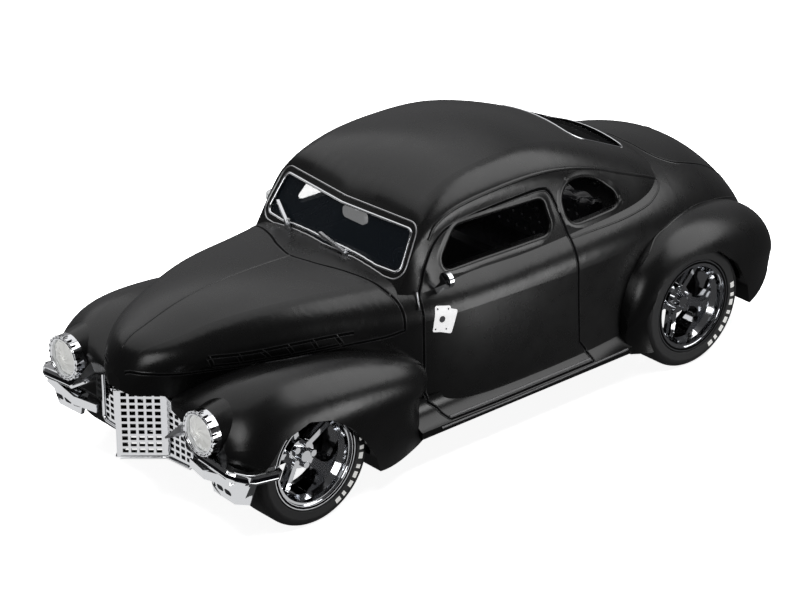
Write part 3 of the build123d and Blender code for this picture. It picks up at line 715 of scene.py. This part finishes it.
# Cut glass over the lens: the radius of the lens's crown and how far it stands before the bezel's back, the
# radii of the rings of points, the number in each, and the heights of the hollows and the ridges
LENS_CROWN = 6.9
LENS_AHEAD = 1.8
FACET_RADII = (0.0, 0.8, 1.7, 2.6, 3.35)
FACETS = 16
FACET_RIDGES = (0.04, 0.16)


def lamp_bezels():
    rings = new_store()
    notches = new_store()
    middle = place(LAMP_X, LAMP_FRONT, LAMP_Z)
    angles = [2 * math.pi * k / CIRCLE_TURNS for k in range(CIRCLE_TURNS)]
    for flip in (False, True):
        for radius in LAMP_BEADS:
            circle = [place(LAMP_X + radius * math.cos(a), LAMP_FRONT, LAMP_Z + radius * math.sin(a))
                      for a in angles]
            add_strip(rings, circle, [AHEAD] * CIRCLE_TURNS, bead(LAMP_BEAD), True, flip)
        for k in range(NOTCHES):
            a = 2 * math.pi * k / NOTCHES
            out = Vector((math.cos(a), 0.0, math.sin(a)))
            inner = middle + out * NOTCH_REACH[0] * MM
            outer = middle + out * NOTCH_REACH[1] * MM
            path = [inner, outer, outer - AHEAD * NOTCH_DEPTH * MM]
            normals = [AHEAD, (AHEAD + out).normalized(), out]
            add_strip(notches, path, normals, flat(NOTCH_WIDTH, NOTCH_LIFT), False, flip)
    piece("lamp_rings", rings, CHROME)
    piece("lamp_notches", notches, PAINTED_SHADE, smooth=False)


def lamp_facets():
    cut = new_store()
    for side in (1, -1):
        points = []
        for ring, radius in enumerate(FACET_RADII):
            dome = LAMP_BACK - LENS_AHEAD + LENS_CROWN - math.sqrt(LENS_CROWN ** 2 - radius ** 2)
            for k in range(FACETS):
                a = 2 * math.pi * (k + 0.5 * (ring % 2)) / FACETS
                station = dome - FACET_RIDGES[(k + ring) % 2]
                across = LAMP_X + radius * math.cos(a)
                points.append(place(side * across, station, LAMP_Z + radius * math.sin(a)))
        faces = []
        for ring in range(len(FACET_RADII) - 1):
            for k in range(FACETS):
                a = ring * FACETS + k
                b = ring * FACETS + (k + 1) % FACETS
                faces += [(a, b, a + FACETS), (b, b + FACETS, a + FACETS)]
        add_shape(cut, points, [face[::side] for face in faces])
    piece("lamp_facets", cut, LENS_CUT_GLOW, smooth=False)


# Middle of each bumper rail as x, station and height, with the way it faces in plan in degrees
RAIL_FACE = [
    (14.4, -63.0, 18.75, 0.0), (18.4, -63.1, 16.3, 4.0), (22.0, -63.1, 16.0, 6.0),
    (25.4, -63.1, 15.65, 14.0), (26.6, -62.6, 15.4, 38.0), (27.7, -61.6, 15.05, 60.0),
    (28.2, -60.4, 14.75, 84.0), (28.2, -55.6, 14.0, 90.0),
]
# Distance from there to the folded face, and the face's cross-section
RAIL_HALF_DEPTH = 0.7
RAIL_FOLD = [
    (-1.0, -0.1), (-0.92, 0.1), (-0.42, 0.4), (-0.34, 0.3), (0.34, 0.3), (0.42, 0.4), (0.92, 0.1),
    (1.0, -0.1),
]
# Dark band in the groove of each rail, painted shade and reflection
RAIL_BAND = [(-0.34, 0.31), (0.34, 0.31)]


def bumper_rails():
    folds = new_store()
    bands = new_store()
    path = []
    normals = []
    for x, station, z, turn in RAIL_FACE:
        out = Vector((math.sin(math.radians(turn)), -math.cos(math.radians(turn)), 0.0))
        path.append(place(x, station, z) + out * RAIL_HALF_DEPTH * MM)
        normals.append(out)
    for flip in (False, True):
        add_strip(folds, path, normals, RAIL_FOLD, False, flip)
        add_strip(bands, path, normals, RAIL_BAND, False, flip)
    piece("bumper_folds", folds, CHROME, smooth=False)
    piece("bumper_bands", bands, RAIL_SHADE)


# Grey patches of painted shade for the pockets on each apron's front face: x of their middles, height, half
# sides, corner radius and lift
POCKET_XS = (19.4, 21.6, 23.8)
POCKET_Z = 11.15
POCKET_HALVES = (0.8, 0.5)
POCKET_RADIUS = 0.3
POCKET_LIFT = 0.05


def apron_pockets():
    pockets = new_store()
    outline = rounded(rectangle(*POCKET_HALVES), POCKET_RADIUS)
    for name, side in (("front_apron_right", -1), ("front_apron_left", 1)):
        apron = surface(name)
        for x in POCKET_XS:
            points = []
            for across, up in outline:
                start = place(side * (x + across), BEFORE_S, POCKET_Z + up)
                hit, normal = apron.ray_cast(start, BACKWARD)[:2]
                points.append(hit + normal * POCKET_LIFT * MM)
            add_shape(pockets, points, [tuple(range(len(points)))[::side]])
    piece("apron_pockets", pockets, POCKET_SHADE, smooth=False)


# Front outline of the left half of the grille as x and height, and its plan line as x and station
GRILLE_EDGE = [(0.0, 23.2), (4.4, 23.0), (6.6, 22.0), (12.6, 19.6), (12.6, 11.2), (11.8, 10.5), (0.0, 10.3)]
GRILLE_LINE = [(0.0, -67.7), (6.0, -61.2), (12.6, -60.9)]
# Which way the prow and the wing of the grille face on the left
PROW_FACING = Vector((0.55, -0.84, 0.0))
WING_FACING = Vector((0.05, -1.0, 0.0)).normalized()
# Radius of the rim's bead, and how far it stands before the grille's front
GRILLE_BEAD = 0.3
GRILLE_AHEAD = 0.1


def grille_station(x):
    """Station of the grille's front at a place across the car."""
    for (x0, s0), (x1, s1) in zip(GRILLE_LINE, GRILLE_LINE[1:]):
        if x <= x1:
            return s0 + (s1 - s0) * (x - x0) / (x1 - x0)


def grille_rim():
    rim = new_store()
    path = []
    for (x0, z0), (x1, z1) in zip(GRILLE_EDGE, GRILLE_EDGE[1:]):
        pieces = max(1, round(math.hypot(x1 - x0, z1 - z0) / OUTLINE_STEP))
        for k in range(pieces):
            x = x0 + (x1 - x0) * k / pieces
            path.append(place(x, grille_station(x) - GRILLE_AHEAD, z0 + (z1 - z0) * k / pieces))
    corner = GRILLE_LINE[1][0] * MM
    normals = [PROW_FACING if point.x < corner else WING_FACING for point in path]
    for flip in (False, True):
        add_strip(rim, path, normals, bead(GRILLE_BEAD), False, flip)
    piece("grille_rim", rim, CHROME)


# Foot, top and radius of the wipers' posts and of the rod at the left pillar, and the steps round each
WIPER_POSTS = [((-10.9, -20.2, 35.6), (-10.7, -20.0, 37.3)), ((5.4, -20.4, 35.3), (5.6, -20.2, 36.9))]
WIPER_POST_RADIUS = 0.34
PILLAR_ROD = ((20.9, -17.3, 33.0), (22.4, -18.0, 30.2))
PILLAR_ROD_RADIUS = 0.16
POST_TURNS = 8


def post(store, foot, top, radius):
    """A small round post between two points."""
    turns = POST_TURNS
    along = (top - foot).normalized()
    across = along.orthogonal().normalized()
    other = along.cross(across)
    points = [end + (across * math.cos(a) + other * math.sin(a)) * radius * MM
              for end in (foot, top) for a in (2 * math.pi * k / turns for k in range(turns))]
    faces = [(k, (k + 1) % turns, turns + (k + 1) % turns, turns + k) for k in range(turns)]
    faces += [tuple(range(turns))[::-1], tuple(range(turns, 2 * turns))]
    add_shape(store, points, faces)


def bright_posts():
    posts = new_store()
    for foot, top in WIPER_POSTS:
        post(posts, place(*foot), place(*top), WIPER_POST_RADIUS)
    (x0, s0, z0), (x1, s1, z1) = PILLAR_ROD
    for side in (1, -1):
        post(posts, place(side * x0, s0, z0), place(side * x1, s1, z1), PILLAR_ROD_RADIUS)
    piece("bright_posts", posts, BRIGHT_WORK)


# Pale blocks on the tyre walls: radii, first angle, step and each width in degrees, and lift
MARK_RADII = (9.0, 9.8, 10.6)
MARK_FIRST = -66.0
MARK_STEP = 10.0
MARK_WIDTHS = (6.5, 4.0, 6.5, 6.5, 4.0, 6.5, 4.0, 6.5)
MARK_LIFT = 0.06
# Moulded rings on the tyre walls: radii of their middles, half width, lift and angles in degrees
WALL_RINGS = (8.75, 10.95)
RING_HALF = 0.12
RING_LIFT = 0.08
RING_ANGLES = range(0, 361, 15)
# Dark ring of painted shade at the step inside each rim's lip: its radii, its place across the car and its
# angles in degrees
RIM_STEP = (8.36, 8.74)
RIM_STEP_X = 26.73
RIM_ANGLES = range(0, 361, 10)
# How far outside the tyre's middle the rays start, in metres
WALL_START = 0.02


def ring_faces(turns, wide, side):
    """Faces between rows of points round a wheel, wide points to a row."""
    faces = [(k * wide + j, k * wide + j + 1, (k + 1) * wide + j + 1, (k + 1) * wide + j)
             for k in range(turns - 1) for j in range(wide - 1)]
    return [face[::side] for face in faces]


def lay_on_wall(store, name, side, radii, degrees, lift):
    """A patch between radii and angles, laid on a tyre's outer wall."""
    wall = WALLS[name]
    centre = middle_of(name)
    points = []
    for a in (math.radians(d) for d in degrees):
        for radius in radii:
            start = centre + Vector((side * WALL_START, math.cos(a) * radius * MM, math.sin(a) * radius * MM))
            points.append(wall.ray_cast(start, INWARD * side)[0] + Vector((side * lift * MM, 0.0, 0.0)))
    add_shape(store, points, ring_faces(len(degrees), len(radii), side))


def rim_step(store, name, side):
    centre = middle_of(name)
    angles = [math.radians(d) for d in RIM_ANGLES]
    points = [Vector((side * RIM_STEP_X * MM, centre.y + radius * MM * math.cos(a),
                      centre.z + radius * MM * math.sin(a))) for a in angles for radius in RIM_STEP]
    add_shape(store, points, ring_faces(len(angles), len(RIM_STEP), side))


def wheel_details():
    for end in ("front", "rear"):
        marks = new_store()
        rings = new_store()
        steps = new_store()
        for name, side in ((f"tyre_{end}_left", 1), (f"tyre_{end}_right", -1)):
            for k, width in enumerate(MARK_WIDTHS):
                first = MARK_FIRST + k * MARK_STEP
                lay_on_wall(marks, name, side, MARK_RADII, (first, first + width), MARK_LIFT)
            for radius in WALL_RINGS:
                band = (radius - RING_HALF, radius + RING_HALF)
                lay_on_wall(rings, name, side, band, RING_ANGLES, RING_LIFT)
            rim_step(steps, name, side)
        wheels = f"{end}_wheels"
        piece(f"tyre_marks_{end}", marks, PALE_PRINT_GLOW, wheels, smooth=False)
        piece(f"tyre_rings_{end}", rings, RUBBER, wheels, smooth=False)
        piece(f"rim_steps_{end}", steps, PAINTED_SHADE, wheels, smooth=False)


# Tufted skin of the rear seat's back: half width, heights of its face, stations and least height of its top,
# and the columns and rows of each part
QUILT_HALF = 15.0
QUILT_HEIGHTS = (22.0, 33.5)
QUILT_STATIONS = (20.0, 33.8)
QUILT_TOP = 31.0
QUILT_COLUMNS = 60
QUILT_ROWS = 24
# Size and depth of a tuft, and the least lift of the skin
TUFT = 2.4
TUFT_DEPTH = 0.7
QUILT_LIFT = 0.1
# Where rays start that look at the seat from the front and from above
SEAT_LOOK_S = 5.0
SEAT_LOOK_Z = 40.0
# Buttons: start above the quilt's foot, shift sideways as a share of a tuft, rows, radius, height and how
# far they stand out
BUTTON_RISE = 1.2
BUTTON_SHIFT = 0.25
BUTTON_ROWS = 5
BUTTON_RADIUS = 0.32
BUTTON_HEIGHT = 0.25
BUTTON_OUT = 0.9


def quilt_point(seat, x, along, upright):
    """A point of the quilt by x and the height on the seat's face, or the station on its top."""
    start = place(x, SEAT_LOOK_S, along) if upright else place(x, along, SEAT_LOOK_Z)
    hit, normal = seat.ray_cast(start, BACKWARD if upright else DOWN)[:2]
    if hit is None or (not upright and hit.z < QUILT_TOP * MM):
        return None
    swell = abs(math.cos(math.pi * (x + along) / TUFT / 2) * math.cos(math.pi * (x - along) / TUFT / 2))
    return hit + normal * (QUILT_LIFT + TUFT_DEPTH * swell ** 0.5) * MM


def seat_quilt():
    seat = surface("rear_seat")
    quilt = new_store()
    wide = QUILT_COLUMNS + 1
    for upright, (first, last) in ((True, QUILT_HEIGHTS), (False, QUILT_STATIONS)):
        grid = []
        for r in range(QUILT_ROWS + 1):
            along = first + (last - first) * r / QUILT_ROWS
            grid += [quilt_point(seat, -QUILT_HALF + 2 * QUILT_HALF * c / QUILT_COLUMNS, along, upright)
                     for c in range(wide)]
        corners = [(k, k + 1, k + wide + 1, k + wide) for k in range(QUILT_ROWS * wide) if (k + 1) % wide]
        faces = [face for face in corners if all(grid[i] is not None for i in face)]
        used = sorted({i for face in faces for i in face})
        order = {i: n for n, i in enumerate(used)}
        add_shape(quilt, [grid[i] for i in used], [tuple(order[i] for i in face) for face in faces])
    piece("seat_quilt", quilt, QUILT_LIT)


def seat_buttons():
    seat = surface("rear_seat")
    buttons = new_store()
    half_count = int(QUILT_HALF / TUFT)
    for row in range(BUTTON_ROWS):
        for k in range(-half_count, half_count):
            x = (k + 0.5 * (row % 2) + BUTTON_SHIFT) * TUFT
            z = QUILT_HEIGHTS[0] + BUTTON_RISE + row * TUFT
            hit = seat.ray_cast(place(x, SEAT_LOOK_S, z), BACKWARD)[0]
            if hit is not None:
                top = hit + AHEAD * BUTTON_OUT * MM
                ring = []
                for a in (math.pi * t / 3 for t in range(6)):
                    out = Vector((BUTTON_RADIUS * math.cos(a), BUTTON_HEIGHT, BUTTON_RADIUS * math.sin(a)))
                    ring.append(top + out * MM)
                add_shape(buttons, [top] + ring, [(0, 1 + t, 1 + (t + 1) % 6) for t in range(6)])
    piece("seat_buttons", buttons, BUTTON_HIGHLIGHT)


# Width of the rolled edges on the plated pieces, and the angle in degrees from which an edge is rolled
PLATE_EDGES = {"front_grille": 0.09, "front_bumper": 0.2, "front_apron": 0.25, "headlamp_bezel": 0.15,
               "door_mirror": 0.15, "bumper_guard": 0.12}
PLATE_ANGLE = 35


def soften_plate():
    """Small rolled edges on the plated pieces, which catch the light."""
    for name, node in nodes.items():
        width = PLATE_EDGES.get(kind(name))
        if width:
            bevel = node.modifiers.new("rolled_edges", "BEVEL")
            bevel.width = width * MM
            bevel.segments = 2
            bevel.limit_method = "ANGLE"
            bevel.angle_limit = math.radians(PLATE_ANGLE)


# Tilted plain cards on the door: middle station and height, half sides, tilt in degrees and lift
DECAL_CARDS = [(-12.4, 26.9, 1.5, 2.2, -22.0, 0.05), (-13.6, 27.5, 1.6, 2.35, -12.0, 0.10)]
CARD_RADIUS = 0.35
# Spots on the second card: places along and up the card, and radii
DECAL_SPOTS = [(0.0, 0.0, 0.62), (-1.1, 1.8, 0.17), (1.1, 1.8, 0.17), (-1.1, -1.8, 0.17), (1.1, -1.8, 0.17)]
SPOT_LIFT = 0.14
# Rings of a patch as shares of its size, and the steps of its outline
PATCH_RINGS = (1.0, 0.66, 0.33)
PATCH_STEP = 0.4


def turned(x, y, turn):
    return x * math.cos(turn) - y * math.sin(turn), x * math.sin(turn) + y * math.cos(turn)


def finer(outline):
    """A closed 2-D outline with points at most one patch step apart."""
    path = []
    for a, b in zip(outline, outline[1:] + outline[:1]):
        pieces = max(1, math.ceil((b - a).length / PATCH_STEP))
        path += [a + (b - a) * k / pieces for k in range(pieces)]
    return path


def lay_patch(store, outline, s0, z0, turn, lift):
    """A flat patch laid on both doors, as rings shrinking to its middle."""
    outline = finer(outline)
    count = len(outline)
    for side in (1, -1):
        points = []
        for size in PATCH_RINGS:
            for x, y in outline:
                s, z = turned(size * x, size * y, turn)
                hit, normal = SHELL.ray_cast(place(BESIDE_X, s0 + s, z0 + z), INWARD)[:2]
                point = hit + normal * lift * MM
                points.append(Vector((point.x * side, point.y, point.z)))
        faces = [(here + i, here + (i + 1) % count, here + count + (i + 1) % count, here + count + i)
                 for here in range(0, len(points) - count, count) for i in range(count)]
        faces.append(tuple(range(len(points) - count, len(points))))
        add_shape(store, points, [face[::side] for face in faces])


def door_decals():
    cards = new_store()
    spots = new_store()
    for s0, z0, half_s, half_z, tilt, lift in DECAL_CARDS:
        turn = math.radians(tilt)
        lay_patch(cards, rounded(rectangle(half_s, half_z), CARD_RADIUS), s0, z0, turn, lift)
    for x, y, radius in DECAL_SPOTS:
        s, z = turned(x, y, turn)
        circle = [Vector((math.cos(k * math.pi / 6), math.sin(k * math.pi / 6))) * radius for k in range(12)]
        lay_patch(spots, circle, s0 + s, z0 + z, 0.0, SPOT_LIFT)
    piece("door_decals", cards, DECAL_GLOW, smooth=False)
    piece("door_decal_spots", spots, DECAL_SPOT, smooth=False)


# Camera fitted to the photograph: place in millimetres, azimuth, elevation and roll in degrees, and lens
CAMERA_PLACE = (445.155, -392.255, 302.050)
CAMERA_AZIMUTH = 49.170
CAMERA_ELEVATION = 25.654
CAMERA_ROLL = -0.527
CAMERA_LENS = 161.89


def camera():
    data = bpy.data.cameras.new("photo_camera")
    data.lens = CAMERA_LENS
    data.sensor_width = 36.0
    data.clip_start = 0.01
    data.clip_end = 20.0
    cam = new_object("photo_camera", data)
    bpy.context.scene.camera = cam
    a, e, r = (math.radians(v) for v in (CAMERA_AZIMUTH, CAMERA_ELEVATION, CAMERA_ROLL))
    back = Vector((math.sin(a) * math.cos(e), -math.cos(a) * math.cos(e), math.sin(e)))
    level = Vector((math.cos(a), math.sin(a), 0.0))
    up = back.cross(level)
    x_axis = level * math.cos(r) + up * math.sin(r)
    y_axis = up * math.cos(r) - level * math.sin(r)
    turn = Matrix((x_axis, y_axis, back)).transposed().to_4x4()
    cam.matrix_world = Matrix.Translation(Vector(CAMERA_PLACE) * MM) @ turn


# The surround's brightest direction, its brightness from opposite it, at -1, to there, at 1, and its tint
SKY_AXIS = (-0.62, 0.35, 0.70)
SKY_ROWS = [(-1.0, 0.05), (0.3, 0.05), (0.6, 0.12), (0.85, 0.28), (1.0, 0.36)]
SKY_BLUE = 1.02

# Side of the floor, its own glow, and the light for it alone: height, side and power
FLOOR_SIZE = 40.0
FLOOR_GLOW = 0.92
FLOOR_LIGHT = (0.80, 0.9, 16.0)

# Round soft boxes for the model alone: place in metres, radius and brightness
SOFT_BOXES = [
    ("box_over", (-0.38, -0.04, 0.77), 0.74, 0.66),
    ("box_rear", (0.14, 0.22, 0.27), 0.18, 2.3),
    ("box_side", (0.31, 0.17, 0.0), 0.07, 5.0),
    ("box_front", (0.14, -0.36, 0.20), 0.09, 3.5),
]
BOX_TARGET = (0.0, 0.0, 0.02)
# The side windows stay out of the boxes' light, so that they look dark
DARK_GLASS = ("side_glass", "quarter_glass")

# Cards under the model for plated pieces and lamp lenses alone: place, width, depth and power
PLATE_CARDS = [
    ("plate_card", (0.08, -0.216, -0.002), 0.5, 0.296, 0.3347681),
    ("plate_card_back", (0.0, 0.30, -0.002), 0.3, 0.34, 0.2),
    ("plate_card_far", (-0.28, -0.04, -0.002), 0.3, 0.34, 0.2),
]
# Card for the rims alone: place, target, side and power
WHEEL_CARD = ((0.22, 0.08, -0.09), (0.03, -0.02, 0.012), 0.10, 0.015708)


def lamp(name, shape, spot, target, power, receivers):
    """A light seen in reflections but not by the camera, for the receivers alone."""
    data = bpy.data.lights.new(name, "AREA")
    data.shape = shape
    data.energy = power
    light = new_object(name, data)
    light.location = spot
    light.rotation_mode = "QUATERNION"
    light.rotation_quaternion = (Vector(target) - Vector(spot)).to_track_quat("-Z", "Y")
    light.visible_camera = False
    group = bpy.data.collections.new(f"{name}_receivers")
    for obj in receivers:
        group.objects.link(obj)
    light.light_linking.receiver_collection = group
    return data


def card(name, spot, target, width, depth, power, receivers):
    data = lamp(name, "RECTANGLE", spot, target, power, receivers)
    data.size = width
    data.size_y = depth


def soft_box(name, spot, radius, level, receivers):
    """A round light of one brightness, facing the model."""
    data = lamp(name, "DISK", spot, BOX_TARGET, level * (math.pi * radius) ** 2, receivers)
    data.size = 2.0 * radius


def sky():
    """A dim surround, brightest behind the far side."""
    world = bpy.data.worlds.new("studio")
    bpy.context.scene.world = world
    world.use_nodes = True
    tree = world.node_tree
    coords = tree.nodes.new("ShaderNodeTexCoord")
    along = tree.nodes.new("ShaderNodeVectorMath")
    along.operation = "DOT_PRODUCT"
    along.inputs[1].default_value = Vector(SKY_AXIS).normalized()
    ramp = tree.nodes.new("ShaderNodeValToRGB")
    ramp.color_ramp.interpolation = "EASE"
    while len(ramp.color_ramp.elements) < len(SKY_ROWS):
        ramp.color_ramp.elements.new(0.5)
    for element, (height, level) in zip(ramp.color_ramp.elements, SKY_ROWS):
        element.position = (height + 1.0) / 2.0
        element.color = (level, level, level * SKY_BLUE, 1.0)
    half = tree.nodes.new("ShaderNodeMath")
    half.operation = "MULTIPLY_ADD"
    half.inputs[1].default_value = 0.5
    half.inputs[2].default_value = 0.5
    tree.links.new(coords.outputs["Generated"], along.inputs[0])
    tree.links.new(along.outputs["Value"], half.inputs[0])
    tree.links.new(half.outputs["Value"], ramp.inputs["Fac"])
    tree.links.new(ramp.outputs["Color"], tree.nodes["Background"].inputs["Color"])


def studio_floor():
    """A pale floor that takes the model's shadow and stays out of its reflections."""
    bpy.ops.mesh.primitive_plane_add(size=FLOOR_SIZE, location=(0, 0, 0))
    floor = bpy.context.object
    floor.name = "studio_floor"
    material, tree, shader = node_tree("floor_white")
    shader.inputs["Base Color"].default_value = (0.95, 0.95, 0.95, 1.0)
    shader.inputs["Roughness"].default_value = 0.9
    floor.data.materials.append(glow(material, FLOOR_GLOW))
    floor.visible_diffuse = False
    floor.visible_glossy = False
    floor.visible_shadow = False
    return floor


def studio():
    """The floor with its own light, soft boxes for the model, and cards for its bright pieces."""
    model = [o for o in bpy.context.scene.objects if o.type == "MESH"]
    rims = [o for o in model if o.name.startswith("rim")]
    plated = [o for o in model
              if o.data.materials and o.data.materials[0] in (CHROME, LENS) and o not in rims]
    lit = [o for o in model if not o.name.startswith(DARK_GLASS)]
    floor = studio_floor()
    height, side, power = FLOOR_LIGHT
    card("floor_light", (0.0, 0.0, height), (0.0, 0.0, 0.0), side, side, power, [floor])
    for name, spot, width, depth, power in PLATE_CARDS:
        card(name, spot, (spot[0], spot[1], 1.0), width, depth, power, plated)
    spot, target, side, power = WHEEL_CARD
    card("wheel_card", spot, target, side, side, power, rims)
    for name, spot, radius, level in SOFT_BOXES:
        soft_box(name, spot, radius, level, lit)
    sky()


finish_nodes()
panel_lines()
body_welts()
window_rims()
screen_trims()
screen_brow()
door_decals()
lamp_bezels()
lamp_facets()
bumper_rails()
apron_pockets()
grille_rim()
bright_posts()
wheel_details()
seat_quilt()
seat_buttons()
soften_plate()
camera()
studio()

scene = bpy.context.scene
scene.view_settings.view_transform = "Standard"
scene.view_settings.look = "None"
